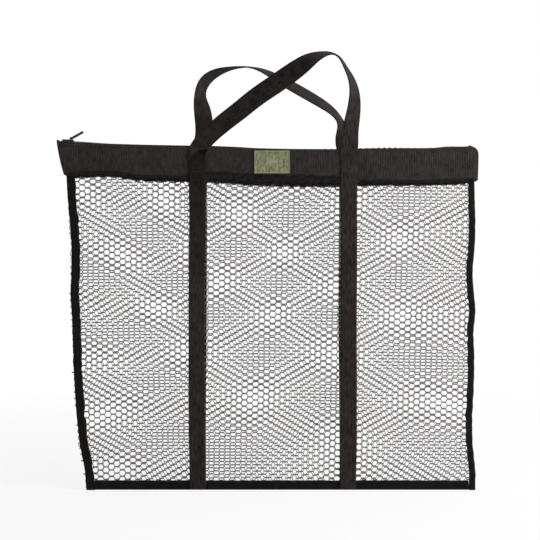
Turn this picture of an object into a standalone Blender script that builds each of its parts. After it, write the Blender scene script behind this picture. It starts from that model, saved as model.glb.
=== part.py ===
# Fish keep bag: a flat net bag with a zipped webbing band round its mouth and two webbing handles.
# Metres, +Z up, the front faces -Y. The origin is where a hand or a hook passes through both handles.

import math

import bpy
import bmesh
from mathutils import Vector

# Fits between pieces
SEAM_GAP = 0.0003
NET_GAP = 0.0004
RUNNING_GAP = 0.0004
SLIDER_SIDE_GAP = 0.0006
BAIL_LIFT = 0.0005
COIL_SEAT_GAP = 0.0002

# Top band, 50 mm webbing round the mouth
BAND_LEFT_X = -0.3145
BAND_RIGHT_X = 0.3015
BAND_TOP_Z = -0.0590
BAND_HEIGHT = 0.050
BAND_THICKNESS = 0.0018
BAND_LEFT_SLANT = 0.012
BAND_CORNER_RADIUS = 0.012
ZIP_TILT = math.radians(0.82)
BAND_COLUMNS = 24
BAND_ROWS = 6

# Net panels and the bindings round them
PANEL_LEFT_INSET = 0.0010
PANEL_RIGHT_INSET = 0.0045
PANEL_LEFT_LEAN = 0.029
PANEL_SPACING = 0.0004
HEM_Z = -0.5670
NET_THICKNESS = 0.0010
NET_BELLY = 0.0120
NET_INTO_BAND = 0.010
BINDING_WIDTH = 0.013
BINDING_THICKNESS = 0.0010
BINDING_INTO_BAND = 0.008
PANEL_COLUMNS = 18
PANEL_ROWS = 13
BINDING_ROWS = 14
HEM_COLUMNS = 12

# Webbing legs and handles
STRAP_WIDTH = 0.025
STRAP_THICKNESS = 0.0018
STRAP_LEFT_X = -0.1085
STRAP_RIGHT_X = 0.1122
STRAP_HEM_MARGIN = 0.002
STRAP_STEP = 0.006
HANDLE_FOLD_DEPTH = 0.0307
FRONT_HANDLE_RISE = 0.147
FRONT_HANDLE_LEAN = 0.060
BACK_HANDLE_RISE = 0.154
BACK_HANDLE_LEAN = 0.024
HANDLE_SAMPLES = 60

# Zip
TAPE_THICKNESS = 0.0007
TAPE_DEPTH = 0.012
TAPE_DROP = 0.0023
COIL_WIDTH = 0.0030
COIL_HEIGHT = 0.0024
COIL_SLOT = 0.0014
COIL_ROUNDING = 0.0006
STOP_LENGTH = 0.0016
STOP_ROUNDING = 0.0003
TAB_THICKNESS = 0.0010
TAB_RISE = 0.0012
TAB_INSET = 0.0004
TAB_ROWS = 7

# Slider and its pull tab
SLIDER_LENGTH = 0.016
SLIDER_PLATE = 0.0014
SLIDER_RIM = 0.0014
SLIDER_RIM_DROP = 0.0004
SLIDER_NECK_LENGTH = 0.0035
BAIL_FROM_CENTRE = 0.0045
BAIL_HOLE_RADIUS = 0.0014
BAIL_WALL = 0.0011
BAIL_WIDTH = 0.0024
PULL_LENGTH = 0.021
PULL_WIDTH = 0.0070
PULL_THICKNESS = 0.0016
PULL_ARM_INSET = 0.0006
PULL_BAR_RADIUS = 0.0009
PULL_REST_ANGLE = math.radians(30)
ROUND_SIDES = 20

# Sewn patch on the front band
LABEL_WIDTH = 0.054
LABEL_HEIGHT = 0.036
LABEL_THICKNESS = 0.0010
LABEL_TOP_DROP = 0.0080

# Handle routes from the left leg to the right leg. Each stop gives its share of the way across,
# its shares of the handle's lean away from the bag and of its rise over the fold line, and its
# turn in degrees.
FRONT_ROUTE = [
    (0.000, 0.000, 0.000, 0),
    (0.000, 0.000, 0.048, 0),
    (-0.009, 0.000, 0.109, 0),
    (0.004, 0.005, 0.170, 0),
    (0.051, 0.050, 0.252, 0),
    (0.087, 0.100, 0.313, 0),
    (0.186, 0.200, 0.429, 1),
    (0.272, 0.300, 0.517, 2),
    (0.349, 0.417, 0.605, 4),
    (0.427, 0.533, 0.687, 5),
    (0.503, 0.650, 0.748, 6),
    (0.584, 0.750, 0.823, 9),
    (0.641, 0.833, 0.871, 15),
    (0.712, 0.917, 0.932, 30),
    (0.779, 0.983, 0.973, 55),
    (0.850, 1.000, 1.000, 70),
    (0.912, 0.967, 0.973, 77),
    (0.952, 0.883, 0.871, 77),
    (0.990, 0.767, 0.782, 74),
    (1.015, 0.633, 0.687, 64),
    (1.026, 0.483, 0.585, 56),
    (1.023, 0.317, 0.483, 45),
    (1.011, 0.183, 0.381, 32),
    (1.003, 0.083, 0.293, 12),
    (1.004, 0.017, 0.204, 0),
    (1.000, 0.000, 0.129, 0),
    (1.000, 0.000, 0.054, 0),
    (1.000, 0.000, 0.000, 0),
]
BACK_ROUTE = [
    (0.000, 0.000, 0.000, 0),
    (0.000, 0.000, 0.084, 0),
    (0.010, 0.000, 0.156, 0),
    (0.031, 0.020, 0.260, 0),
    (0.035, 0.170, 0.357, -4),
    (0.023, 0.380, 0.519, -15),
    (0.002, 0.540, 0.675, -62),
    (0.012, 0.670, 0.786, -70),
    (0.048, 0.790, 0.870, -74),
    (0.113, 0.875, 0.935, -84),
    (0.210, 0.960, 0.981, -99),
    (0.315, 1.000, 1.000, -103),
    (0.411, 1.000, 0.974, -106),
    (0.500, 0.960, 0.916, -112),
    (0.600, 0.920, 0.838, -122),
    (0.705, 0.830, 0.753, -124),
    (0.808, 0.710, 0.653, -122),
    (0.890, 0.540, 0.568, -117),
    (0.950, 0.375, 0.455, -119),
    (0.970, 0.210, 0.345, -148),
    (0.984, 0.040, 0.247, -178),
    (0.997, 0.000, 0.162, -180),
    (1.000, 0.000, 0.084, -180),
    (1.000, 0.000, 0.000, -180),
]

FRONT = -1
BACK = 1

# Sizes that follow from those above
NET_EDGE_Y = PANEL_SPACING / 2 + NET_THICKNESS
SLOT_HALF = NET_EDGE_Y + SEAM_GAP
BINDING_OUTER_Y = SLOT_HALF + BINDING_THICKNESS
BAND_LOW_GAP = BINDING_OUTER_Y + NET_GAP
COIL_OUTER_Y = COIL_SLOT / 2 + COIL_WIDTH
SLIDER_HALF_WIDTH = COIL_OUTER_Y + SEAM_GAP + SLIDER_RIM
MOUTH_HALF_GAP = SLIDER_HALF_WIDTH + SLIDER_SIDE_GAP + TAPE_THICKNESS + SEAM_GAP
PANEL_LEFT_TOP_X = BAND_LEFT_X + BAND_LEFT_SLANT + PANEL_LEFT_INSET
PANEL_RIGHT_X = BAND_RIGHT_X - PANEL_RIGHT_INSET
HEM_TOP_Z = HEM_Z + BINDING_WIDTH
FOLD_Z = BAND_TOP_Z - HANDLE_FOLD_DEPTH
STRAP_ON_BAND_Y = MOUTH_HALF_GAP + BAND_THICKNESS + SEAM_GAP
FOLD_AXIS_Y = STRAP_ON_BAND_Y + STRAP_THICKNESS + SEAM_GAP / 2
COIL_TOP = COIL_SEAT_GAP + COIL_HEIGHT
PLATE_TOP = COIL_TOP + SEAM_GAP + SLIDER_PLATE
PIVOT_HEIGHT = PLATE_TOP + BAIL_HOLE_RADIUS + BAIL_LIFT
TAB_REACH = TAB_INSET + TAB_THICKNESS + SEAM_GAP
ZIP_LEFT_X = BAND_LEFT_X + BAND_LEFT_SLANT * TAPE_DEPTH / BAND_HEIGHT + TAB_REACH
ZIP_RIGHT_X = BAND_RIGHT_X - BAND_CORNER_RADIUS - TAB_REACH
COIL_LEFT_X = ZIP_LEFT_X + STOP_LENGTH + SEAM_GAP
COIL_RIGHT_X = ZIP_RIGHT_X - STOP_LENGTH - SEAM_GAP
SLIDER_X = COIL_LEFT_X + SLIDER_LENGTH / 2 + SEAM_GAP


def clear_scene():
    for obj in list(bpy.data.objects):
        bpy.data.objects.remove(obj, do_unlink=True)


def make_material(name, colour, roughness, metallic=0.0):
    material = bpy.data.materials.new(name)
    material.use_nodes = True
    shader = material.node_tree.nodes["Principled BSDF"]
    shader.inputs["Base Color"].default_value = (*colour, 1.0)
    shader.inputs["Roughness"].default_value = roughness
    shader.inputs["Metallic"].default_value = metallic
    return material


def make_object(name, bm, material, location=(0, 0, 0)):
    mesh = bpy.data.meshes.new(name)
    bmesh.ops.translate(bm, verts=bm.verts, vec=-Vector(location))
    bm.to_mesh(mesh)
    bm.free()
    mesh.materials.append(material)
    obj = bpy.data.objects.new(name, mesh)
    obj.location = location
    bpy.context.collection.objects.link(obj)
    return obj


def make_empty(name, location):
    empty = bpy.data.objects.new(name, None)
    empty.location = location
    bpy.context.collection.objects.link(empty)
    return empty


def sheet_object(name, rows, side, thickness, offset, material, location=(0, 0, 0)):
    # rows run from top to bottom and from left to right as the front is seen. The front's faces
    # point to -Y, and a sheet on the back side is turned over so that its faces point to +Y.
    bm = bmesh.new()
    verts = [[bm.verts.new(point) for point in row] for row in rows]
    for upper, lower in zip(verts, verts[1:]):
        for i in range(len(upper) - 1):
            quad = [upper[i], lower[i], lower[i + 1], upper[i + 1]]
            bm.faces.new(quad if side == FRONT else quad[::-1])
    obj = make_object(name, bm, material, location)
    solidify = obj.modifiers.new("Thickness", "SOLIDIFY")
    solidify.thickness = thickness
    solidify.offset = offset
    solidify.use_even_offset = True
    return obj


def mix(a, b, share):
    return a + (b - a) * share


def steps(a, b, count):
    # evenly spaced values from a to b, both ends included
    return [mix(a, b, i / count) for i in range(count + 1)]


def clamped(value):
    return min(max(value, 0.0), 1.0)


def band_top(x):
    return BAND_TOP_Z - x * math.tan(ZIP_TILT)


def band_bottom(x):
    return band_top(x) - BAND_HEIGHT


def drop_share(x, z):
    # 0 at the band's lower edge and 1 at the hem binding's upper edge
    return clamped((band_bottom(x) - z) / (band_bottom(x) - HEM_TOP_Z))


def left_edge(z):
    # the left side draws in towards the hem, slowly at first
    return PANEL_LEFT_TOP_X + PANEL_LEFT_LEAN * drop_share(PANEL_LEFT_TOP_X, z) ** 1.8


def right_edge(z):
    return PANEL_RIGHT_X


def inside_bindings(z):
    # the left and right limits of the net that shows between the side bindings
    reach = BINDING_WIDTH + SEAM_GAP
    return left_edge(z) + reach, right_edge(z) - reach


def spread(x, z):
    # 0 inside the side bindings, 1 in the middle, where the two panels stand apart
    left, right = inside_bindings(z)
    across = clamped((x - left) / (right - left))
    return 1 - abs(2 * across - 1) ** 4


def net_outer(x, z):
    # distance of a net panel's outer face from the bag's middle plane
    share = drop_share(x, z)
    at_band = (MOUTH_HALF_GAP - NET_GAP - NET_EDGE_Y) * (1 - share) ** 1.5
    swell = NET_BELLY * math.sin(math.pi * share ** 0.85)
    return NET_EDGE_Y + spread(x, z) * (at_band + swell)


def band_inner(x, depth):
    # distance of a band's inner face from the middle plane: even at the zip, closing in below
    low = mix(BAND_LOW_GAP, MOUTH_HALF_GAP, spread(x, band_bottom(x)))
    return mix(MOUTH_HALF_GAP, low, (depth / BAND_HEIGHT) ** 2)


def band_left(depth):
    return BAND_LEFT_X + BAND_LEFT_SLANT * depth / BAND_HEIGHT


def band_right(depth):
    rise = max(BAND_CORNER_RADIUS - depth, 0.0)
    return BAND_RIGHT_X - BAND_CORNER_RADIUS + math.sqrt(BAND_CORNER_RADIUS ** 2 - rise ** 2)


def panel_heights(x):
    # heights of a net panel's rows, from its top edge inside the band to its edge inside the hem
    top = band_bottom(x)
    body = steps(top, HEM_TOP_Z + SEAM_GAP, PANEL_ROWS)
    return [top + NET_INTO_BAND] + body + [HEM_Z + BINDING_THICKNESS + SEAM_GAP]


def net_panel(name, side, material):
    hidden = BINDING_THICKNESS + SEAM_GAP
    rows = []
    for j, edge_z in enumerate(panel_heights(PANEL_LEFT_TOP_X)):
        body = steps(*inside_bindings(edge_z), PANEL_COLUMNS)
        row = []
        for x in [left_edge(edge_z) + hidden] + body + [right_edge(edge_z) - hidden]:
            z = panel_heights(x)[j]
            row.append(Vector((x, side * net_outer(x, z), z)))
        rows.append(row)
    return sheet_object(name, rows, side, NET_THICKNESS, -1, material)


def top_band(name, side, material):
    # the rows lie closer together at the top, where the right corner is rounded
    rows = []
    for share in steps(0.0, 1.0, BAND_ROWS):
        depth = BAND_HEIGHT * share ** 1.6
        row = []
        for x in steps(band_left(depth), band_right(depth), BAND_COLUMNS):
            row.append(Vector((x, side * band_inner(x, depth), band_top(x) - depth)))
        rows.append(row)
    return sheet_object(name, rows, side, BAND_THICKNESS, 1, material)


def side_binding(name, edge, inward, material):
    # a folded tape that wraps both panels' edges: its fold is outside, its walls point inward
    top = band_bottom(edge(band_bottom(0))) + BINDING_INTO_BAND
    rows = []
    for z in steps(top, HEM_Z, BINDING_ROWS):
        outer, inner = edge(z), edge(z) + inward * BINDING_WIDTH
        profile = [(inner, FRONT), (outer, FRONT), (outer, BACK), (inner, BACK)]
        rows.append([Vector((x, face * BINDING_OUTER_Y, z)) for x, face in profile])
    return sheet_object(name, rows, BACK if inward > 0 else FRONT, BINDING_THICKNESS, -1, material)


def hem_binding(name, material):
    left, right = inside_bindings(HEM_Z)
    profile = [(FRONT, HEM_TOP_Z), (FRONT, HEM_Z), (BACK, HEM_Z), (BACK, HEM_TOP_Z)]
    rows = []
    for face, z in profile:
        rows.append([Vector((x, face * BINDING_OUTER_Y, z)) for x in steps(left, right, HEM_COLUMNS)])
    return sheet_object(name, rows, FRONT, BINDING_THICKNESS, -1, material)


def strap_leg(name, centre, side, material):
    # sewn flat on the net from the hem up, and over the band as far as the handle's fold line
    edges = (centre - STRAP_WIDTH / 2, centre + STRAP_WIDTH / 2)
    floor = BINDING_OUTER_Y + SEAM_GAP
    rows = []
    for z in (FOLD_Z - SEAM_GAP, band_bottom(centre) - SEAM_GAP):
        rows.append([Vector((x, side * STRAP_ON_BAND_Y, z)) for x in edges])
    lower = panel_heights(centre)[2:-1]
    for z in [band_bottom(centre) - STRAP_STEP] + lower + [HEM_Z + STRAP_HEM_MARGIN]:
        rows.append([Vector((x, side * max(net_outer(x, z) + SEAM_GAP, floor), z)) for x in edges])
    return sheet_object(name, rows, side, STRAP_THICKNESS, 1, material)


def spline_point(stops, t):
    # a uniform cubic B-spline, which starts and ends on its second and last but one stops
    i = min(int(t), len(stops) - 4)
    f = t - i
    weights = (
        (1 - f) ** 3 / 6,
        (3 * f ** 3 - 6 * f ** 2 + 4) / 6,
        (-3 * f ** 3 + 3 * f ** 2 + 3 * f + 1) / 6,
        f ** 3 / 6,
    )
    return sum((stops[i + k] * w for k, w in enumerate(weights)), Vector((0, 0, 0, 0)))


def handle(name, route, rise, lean, side, material):
    # a webbing loop: its middle line follows the route, and it turns about that line as it goes
    stops = []
    for across, lean_share, rise_share, turn in route:
        x = mix(STRAP_LEFT_X, STRAP_RIGHT_X, across)
        y = side * (STRAP_ON_BAND_Y + STRAP_THICKNESS / 2 + lean * lean_share)
        stops.append(Vector((x, y, FOLD_Z + rise * rise_share, math.radians(turn))))
    stops = [stops[0] * 2 - stops[1]] + stops + [stops[-1] * 2 - stops[-2]]
    samples = [spline_point(stops, t) for t in steps(0, len(stops) - 3, HANDLE_SAMPLES)]
    rows = []
    for i, sample in enumerate(samples):
        ahead = samples[min(i + 1, HANDLE_SAMPLES)].xyz
        behind = samples[max(i - 1, 0)].xyz
        tangent = (ahead - behind).normalized()
        if i in (0, HANDLE_SAMPLES):
            tangent = Vector((0, 0, 1 if i == 0 else -1))
        facing = Vector((0, -1, 0))
        facing = (facing - tangent * facing.dot(tangent)).normalized()
        turned = facing * math.cos(sample.w) + facing.cross(tangent) * math.sin(sample.w)
        half = tangent.cross(turned).normalized() * STRAP_WIDTH / 2
        rows.append([sample.xyz - half, sample.xyz + half])
    pivot = ((STRAP_LEFT_X + STRAP_RIGHT_X) / 2, side * FOLD_AXIS_Y, FOLD_Z)
    return sheet_object(name, rows, FRONT, STRAP_THICKNESS, 0, material, pivot)


def zip_tape(name, side, material):
    # sewn up the band's inner face, then folded over flat to carry its row of the coil
    wall = [(depth, True) for depth in (TAPE_DEPTH, TAPE_DEPTH / 2, TAPE_DROP)]
    rows = []
    for depth, on_band in wall + [(TAPE_DROP, False)]:
        row = []
        for x in steps(ZIP_LEFT_X, ZIP_RIGHT_X, BAND_COLUMNS):
            y = band_inner(x, depth) - SEAM_GAP if on_band else COIL_SLOT / 2
            row.append(Vector((x, side * y, band_top(x) - depth)))
        rows.append(row)
    return sheet_object(name, rows, -side, TAPE_THICKNESS, -1, material)


def box_object(name, corner, opposite, material, rounding=0.0):
    low = Vector([min(pair) for pair in zip(corner, opposite)])
    high = Vector([max(pair) for pair in zip(corner, opposite)])
    bm = bmesh.new()
    cube = bmesh.ops.create_cube(bm, size=1.0)["verts"]
    bmesh.ops.scale(bm, verts=cube, vec=high - low)
    bmesh.ops.translate(bm, verts=cube, vec=(low + high) / 2)
    obj = make_object(name, bm, material)
    if rounding:
        bevel = obj.modifiers.new("Soft edges", "BEVEL")
        bevel.width = rounding
        bevel.segments = 2
    return obj


def rod_object(name, radius, length, centre, material):
    # a short round rod that lies along Y
    bm = bmesh.new()
    bmesh.ops.create_cone(
        bm, cap_ends=True, segments=ROUND_SIDES, radius1=radius, radius2=radius, depth=length
    )
    rod = make_object(name, bm, material)
    rod.rotation_euler = (math.radians(90), 0, 0)
    rod.location = centre
    return rod


def combine(obj, tool, operation):
    # the tool is hidden, and what it adds or cuts stays one closed body
    tool.parent = obj
    tool.hide_render = True
    tool.display_type = "WIRE"
    boolean = obj.modifiers.new(tool.name, "BOOLEAN")
    boolean.operation = operation
    boolean.object = tool


def zip_coil(name, side, frame, material):
    corner = (COIL_LEFT_X, side * COIL_SLOT / 2, COIL_SEAT_GAP)
    obj = box_object(name, corner, (COIL_RIGHT_X, side * COIL_OUTER_Y, COIL_TOP), material, COIL_ROUNDING)
    obj.parent = frame
    return obj


def zip_stop(name, x, near, far, frame, material):
    corner = (x, near, COIL_SEAT_GAP)
    obj = box_object(name, corner, (x + STOP_LENGTH, far, COIL_TOP), material, STOP_ROUNDING)
    obj.parent = frame
    return obj


def end_tab(name, edge, inward, material):
    # closes the band's end between its front and back halves
    rows = []
    for depth in steps(-TAB_RISE, BAND_HEIGHT - BINDING_INTO_BAND - SEAM_GAP, TAB_ROWS):
        on_band = max(depth, 0.0)
        x = edge(on_band) + inward * TAB_INSET
        half = band_inner(x, on_band) - SEAM_GAP
        rows.append([Vector((x, y, band_top(x) - depth)) for y in (-half, half)])
    return sheet_object(name, rows, BACK if inward > 0 else FRONT, TAB_THICKNESS, -1, material)


def slider_body(name, frame, material):
    half, edge = SLIDER_LENGTH / 2, SLIDER_HALF_WIDTH
    plate_bottom = COIL_TOP + SEAM_GAP
    rim_top = PLATE_TOP - SLIDER_RIM_DROP
    rim_inner = edge - SLIDER_RIM
    under_top = -TAPE_THICKNESS - SEAM_GAP
    under_bottom = under_top - SLIDER_PLATE
    neck_end = -half + SLIDER_NECK_LENGTH
    neck_side = COIL_SLOT / 2 - SEAM_GAP
    pivot = (BAIL_FROM_CENTRE, 0, PIVOT_HEIGHT)
    body = box_object(name, (-half, -edge, plate_bottom), (half, edge, PLATE_TOP), material)
    body.parent = frame
    body.location = (SLIDER_X, 0, 0)
    added = [
        box_object("rim_front", (-half, -edge, SEAM_GAP), (half, -rim_inner, rim_top), material),
        box_object("rim_back", (-half, edge, SEAM_GAP), (half, rim_inner, rim_top), material),
        box_object("under_plate", (-half, -edge, under_bottom), (half, edge, under_top), material),
        box_object(
            "neck",
            (-half, -neck_side, under_top - SLIDER_PLATE / 2),
            (neck_end, neck_side, PLATE_TOP - SLIDER_PLATE / 2),
            material,
        ),
        rod_object("bail", BAIL_HOLE_RADIUS + BAIL_WALL, BAIL_WIDTH, pivot, material),
    ]
    for piece in added:
        combine(body, piece, "UNION")
    combine(body, rod_object("bail_hole", BAIL_HOLE_RADIUS, BAIL_WIDTH * 2, pivot, material), "DIFFERENCE")
    return body


def pull_tab(name, frame, material):
    # the tab's bar lies in the slider's bail, and two arms pass either side of it
    arm_inner = BAIL_WIDTH / 2 + RUNNING_GAP
    arm_outer = PULL_WIDTH / 2 - PULL_ARM_INSET
    clear = BAIL_HOLE_RADIUS + BAIL_WALL + RUNNING_GAP
    half = PULL_THICKNESS / 2
    tab = box_object(name, (clear, -PULL_WIDTH / 2, -half), (PULL_LENGTH, PULL_WIDTH / 2, half), material)
    for word, side in (("front", FRONT), ("back", BACK)):
        corner = (-PULL_BAR_RADIUS, side * arm_inner, -half)
        arm = box_object("pull_arm_" + word, corner, (clear + half, side * arm_outer, half), material)
        combine(tab, arm, "UNION")
    bar_length = 2 * arm_inner + half
    combine(tab, rod_object("pull_bar", PULL_BAR_RADIUS, bar_length, (0, 0, 0), material), "UNION")
    tab.parent = frame
    tab.location = (SLIDER_X + BAIL_FROM_CENTRE, 0, PIVOT_HEIGHT)
    tab.rotation_euler = (0, -PULL_REST_ANGLE, 0)
    return tab


def label_patch(name, material):
    top = band_top(0) - LABEL_TOP_DROP
    corner = (-LABEL_WIDTH / 2, -STRAP_ON_BAND_Y, top)
    opposite = (LABEL_WIDTH / 2, -STRAP_ON_BAND_Y - LABEL_THICKNESS, top - LABEL_HEIGHT)
    return box_object(name, corner, opposite, material)


def build():
    clear_scene()
    webbing = make_material("Black webbing", (0.022, 0.020, 0.019), 0.85)
    band_cloth = make_material("Black band webbing", (0.026, 0.024, 0.023), 0.85)
    binding_cloth = make_material("Black binding tape", (0.012, 0.011, 0.010), 0.9)
    net_cord = make_material("Black net", (0.030, 0.026, 0.026), 0.8)
    tape_cloth = make_material("Black zip tape", (0.020, 0.019, 0.019), 0.9)
    nylon = make_material("Black nylon coil", (0.018, 0.018, 0.018), 0.45)
    enamel = make_material("Black enamelled metal", (0.030, 0.030, 0.030), 0.35, 0.6)
    patch = make_material("Green woven patch", (0.175, 0.190, 0.095), 0.8)

    for word, side in (("front", FRONT), ("back", BACK)):
        net_panel("net_panel_" + word, side, net_cord)
        top_band("top_band_" + word, side, band_cloth)
        strap_leg("strap_%s_left" % word, STRAP_LEFT_X, side, webbing)
        strap_leg("strap_%s_right" % word, STRAP_RIGHT_X, side, webbing)
        zip_tape("zip_tape_" + word, side, tape_cloth)

    handle("handle_front", FRONT_ROUTE, FRONT_HANDLE_RISE, FRONT_HANDLE_LEAN, FRONT, webbing)
    handle("handle_back", BACK_ROUTE, BACK_HANDLE_RISE, BACK_HANDLE_LEAN, BACK, webbing)

    side_binding("side_binding_left", left_edge, 1, binding_cloth)
    side_binding("side_binding_right", right_edge, -1, binding_cloth)
    hem_binding("hem_binding", binding_cloth)
    end_tab("zip_end_tab_left", band_left, 1, binding_cloth)
    end_tab("zip_end_tab_right", band_right, -1, binding_cloth)

    # the zip's own straight line: X runs along it, Z is square to the tape's upper face
    zip_line = make_empty("zip_line", (0, 0, BAND_TOP_Z - TAPE_DROP))
    zip_line.rotation_euler = (0, ZIP_TILT, 0)
    for word, side in (("front", FRONT), ("back", BACK)):
        zip_coil("zip_coil_" + word, side, zip_line, nylon)
        near, far = side * COIL_SLOT / 2, side * COIL_OUTER_Y
        zip_stop("zip_top_stop_" + word, ZIP_LEFT_X, near, far, zip_line, enamel)
    stop_x = COIL_RIGHT_X + SEAM_GAP
    zip_stop("zip_bottom_stop", stop_x, -COIL_OUTER_Y, COIL_OUTER_Y, zip_line, enamel)
    slider_body("zip_slider", zip_line, enamel)
    pull_tab("zip_pull", zip_line, enamel)

    label_patch("label_patch", patch)


build()
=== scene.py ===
import math
import bpy
from mathutils import Matrix, Vector, noise


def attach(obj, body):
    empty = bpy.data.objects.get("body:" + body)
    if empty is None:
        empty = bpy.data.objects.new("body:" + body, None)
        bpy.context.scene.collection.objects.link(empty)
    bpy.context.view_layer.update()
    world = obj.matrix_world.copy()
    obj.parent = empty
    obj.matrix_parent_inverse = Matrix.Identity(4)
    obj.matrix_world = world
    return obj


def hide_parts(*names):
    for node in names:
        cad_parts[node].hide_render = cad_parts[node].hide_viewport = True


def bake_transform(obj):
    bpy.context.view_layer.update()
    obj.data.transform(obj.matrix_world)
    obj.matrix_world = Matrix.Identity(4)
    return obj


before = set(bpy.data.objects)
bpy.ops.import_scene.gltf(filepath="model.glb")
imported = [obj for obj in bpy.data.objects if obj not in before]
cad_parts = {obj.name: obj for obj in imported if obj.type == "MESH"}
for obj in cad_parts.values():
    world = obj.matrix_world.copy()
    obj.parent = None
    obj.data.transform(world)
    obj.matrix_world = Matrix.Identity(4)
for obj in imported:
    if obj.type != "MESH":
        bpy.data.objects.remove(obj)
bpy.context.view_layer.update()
print("frame loaded")

front, back = -1, 1
faces = (("Front", front), ("Back", back))

# the photograph's viewpoint, straight in front of the bag
view = {"place": (-0.00294, -1.2, -0.24402), "lens": 54.42, "floor": -0.5675}

bpy.ops.object.select_all(action="DESELECT")
bpy.ops.object.camera_add(location=view["place"], rotation=(math.radians(90), 0, 0))
camera = bpy.context.object
camera.name = "camera"
camera.data.lens = view["lens"]
camera.data.clip_start, camera.data.clip_end = 0.05, 50
bpy.context.scene.camera = camera

# the bag's own lines, in metres: the CAD model's numbers, with the sag of the real cloth
bag = {
    "bandLeft": -0.3145, "bandRight": 0.3015, "bandTop": -0.0590, "bandHeight": 0.050,
    "bandSlant": 0.0097, "bandCorner": 0.012, "tilt": math.radians(0.82),
    "mouth": 0.0070, "bandThick": 0.0018, "bandLow": 0.0029,
    "underBand": -0.11, "overHem": -0.56, "hem": -0.5670, "hemTop": -0.5540,
    "bound": 0.0133, "netEdge": 0.0012, "netInset": 0.0016, "belly": 0.0120,
    "strapFace": 0.0091, "fold": -0.0897, "strapLeft": -0.1085, "strapRight": 0.1122, "tapeDrop": 0.0023,
}
# how far the band's top edge hangs under the straight line between its ends: (x, drop)
bandSag = [(-0.3145, 0), (-0.3120, -0.0002), (-0.3075, -0.0024), (-0.292, -0.0032), (-0.28, -0.0026),
           (-0.26, -0.0034), (-0.226, -0.0043), (-0.17, -0.0050), (-0.085, -0.0053), (-0.05, -0.0062),
           (-0.02, -0.0076), (0.06, -0.0077), (0.10, -0.0069), (0.16, -0.0047), (0.224, -0.0038),
           (0.2675, -0.0017), (0.29, -0.0002), (0.3015, 0)]
# how far the band's lower edge stands over its even height: (x, rise)
bandHem = [(-0.3145, 0.0024), (-0.279, 0.0035), (-0.262, 0.0050), (-0.230, 0.0060), (-0.215, 0.0043),
           (-0.195, 0.0022), (-0.156, 0.0015), (-0.085, 0.0013), (-0.035, 0), (0.3015, 0)]
# the zip hangs with the band, but its ends stay up
zipSag = [(-0.3145, 0), (-0.29, 0), (-0.26, -0.0016), (-0.22, -0.0040)]
zipSag += [(x, drop) for x, drop in bandSag if -0.20 < x < 0.25]
zipSag += [(0.252, -0.0006), (0.258, 0), (0.3015, 0)]
# the two side outlines, from the hem up: (z, x)
leftLine = [(-0.567, -0.2725), (-0.5351, -0.2752), (-0.5086, -0.2808), (-0.4733, -0.2852), (-0.4381, -0.2883),
            (-0.3851, -0.2915), (-0.3499, -0.2925), (-0.3146, -0.2936), (-0.2793, -0.2958),
            (-0.2440, -0.2945), (-0.2087, -0.2945), (-0.1735, -0.2969), (-0.1382, -0.2999),
            (-0.1050, -0.3018)]
rightLine = [(-0.567, 0.2985), (-0.535, 0.2982), (-0.500, 0.2945), (-0.460, 0.2940), (-0.420, 0.2960),
             (-0.370, 0.2970), (-0.340, 0.2955), (-0.306, 0.2985), (-0.280, 0.2965), (-0.250, 0.2945),
             (-0.215, 0.2970), (-0.190, 0.2985), (-0.110, 0.2970)]


def mix(a, b, share):
    return a + (b - a) * share


def clamped(value):
    return min(max(value, 0.0), 1.0)


def smooth(value):
    value = clamped(value)
    return value * value * (3 - 2 * value)


def through(points, t):
    # a smooth line through the (place, value) points
    if t <= points[0][0]:
        return points[0][1]
    if t >= points[-1][0]:
        return points[-1][1]
    i = 0
    while points[i + 1][0] < t:
        i += 1
    (x0, v0), (x1, v1) = points[i], points[i + 1]
    xa, va = points[max(i - 1, 0)]
    xb, vb = points[min(i + 2, len(points) - 1)]
    s = (t - x0) / (x1 - x0)
    near = (v1 - va) / (x1 - xa) * (x1 - x0)
    far = (vb - v0) / (xb - x0) * (x1 - x0)
    return ((2 * s ** 3 - 3 * s ** 2 + 1) * v0 + (s ** 3 - 2 * s ** 2 + s) * near
            + (3 * s ** 2 - 2 * s ** 3) * v1 + (s ** 3 - s ** 2) * far)


def ripple(x, z, size, seed):
    # smooth unevenness from -1 to 1, the same at each run
    return noise.noise(Vector((x / size, z / size, seed)))


def mouthLine(x):
    # the straight line between the ends of the band's top edge
    return bag["bandTop"] - x * math.tan(bag["tilt"])


def bandTop(x):
    return mouthLine(x) + through(bandSag, x)


def bandBottom(x):
    return bandTop(x) - bag["bandHeight"] + through(bandHem, x)


def zipLine(x):
    return mouthLine(x) + through(zipSag, x)


def leftEdge(z):
    return through(leftLine, z)


def rightEdge(z):
    return through(rightLine, z)


def dropShare(x, z):
    # 0 under the band and 1 at the hem
    return clamped((bandBottom(x) - z) / (bandBottom(x) - bag["hemTop"]))


def spread(x, z):
    # 0 at the side bindings and 1 in the middle, where the two panels stand apart
    left, right = leftEdge(z) + bag["bound"], rightEdge(z) - bag["bound"]
    across = clamped((x - left) / (right - left))
    return 1 - abs(2 * across - 1) ** 4


def netOuter(x, z):
    # how far a net panel's outer face stands from the bag's middle plane
    share = dropShare(x, z)
    atBand = (bag["mouth"] - bag["netInset"]) * (1 - share) ** 1.5
    return bag["netEdge"] + spread(x, z) * (atBand + bag["belly"] * math.sin(math.pi * share ** 0.85))


def bandInner(x, depth):
    # how far the band's inner face stands from the middle plane, at a depth under its top edge
    low = mix(bag["bandLow"], bag["mouth"], spread(x, bandBottom(x)))
    return mix(bag["mouth"], low, (depth / bag["bandHeight"]) ** 2)


def bandLeft(depth):
    return bag["bandLeft"] + bag["bandSlant"] * (max(depth, 0) / bag["bandHeight"]) ** 1.3


def bandRight(depth):
    corner = bag["bandCorner"]
    return bag["bandRight"] - corner + math.sqrt(corner ** 2 - max(corner - depth, 0.0) ** 2)


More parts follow.
